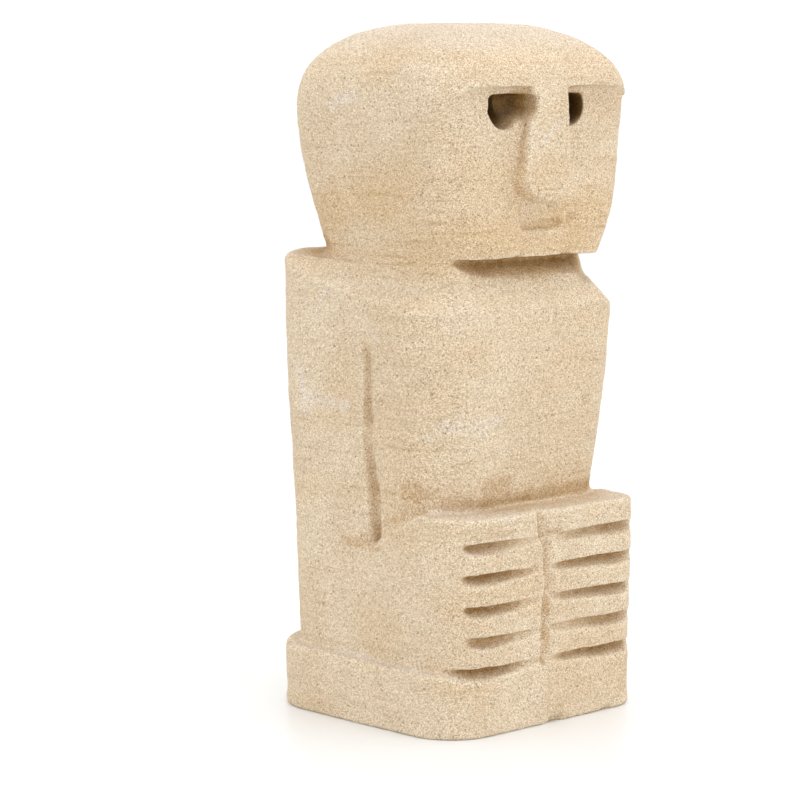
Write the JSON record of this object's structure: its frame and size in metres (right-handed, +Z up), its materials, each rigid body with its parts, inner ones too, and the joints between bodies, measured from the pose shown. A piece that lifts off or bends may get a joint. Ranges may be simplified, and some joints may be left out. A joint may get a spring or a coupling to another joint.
{
  "type": "tiki figure",
  "caption": "Squat stone figure on a low plinth, with a domed head, heavy brow, bar nose, drilled eyes and hands held flat across its front.",
  "frame": {"origin": "centre of the underside of the plinth, on the surface it stands on", "axes": "+Z up; the figure faces -Y; its right arm is on the -X side"},
  "size_m": [0.1226, 0.1212, 0.3],
  "materials": {
    "sandstone": "pale sandy sandstone, matt and open-grained, as it comes from the chisel and rasp"
  },
  "bodies": {
    "root": {"carved_stone_figure": "sandstone"}
  },
  "joints": []
}
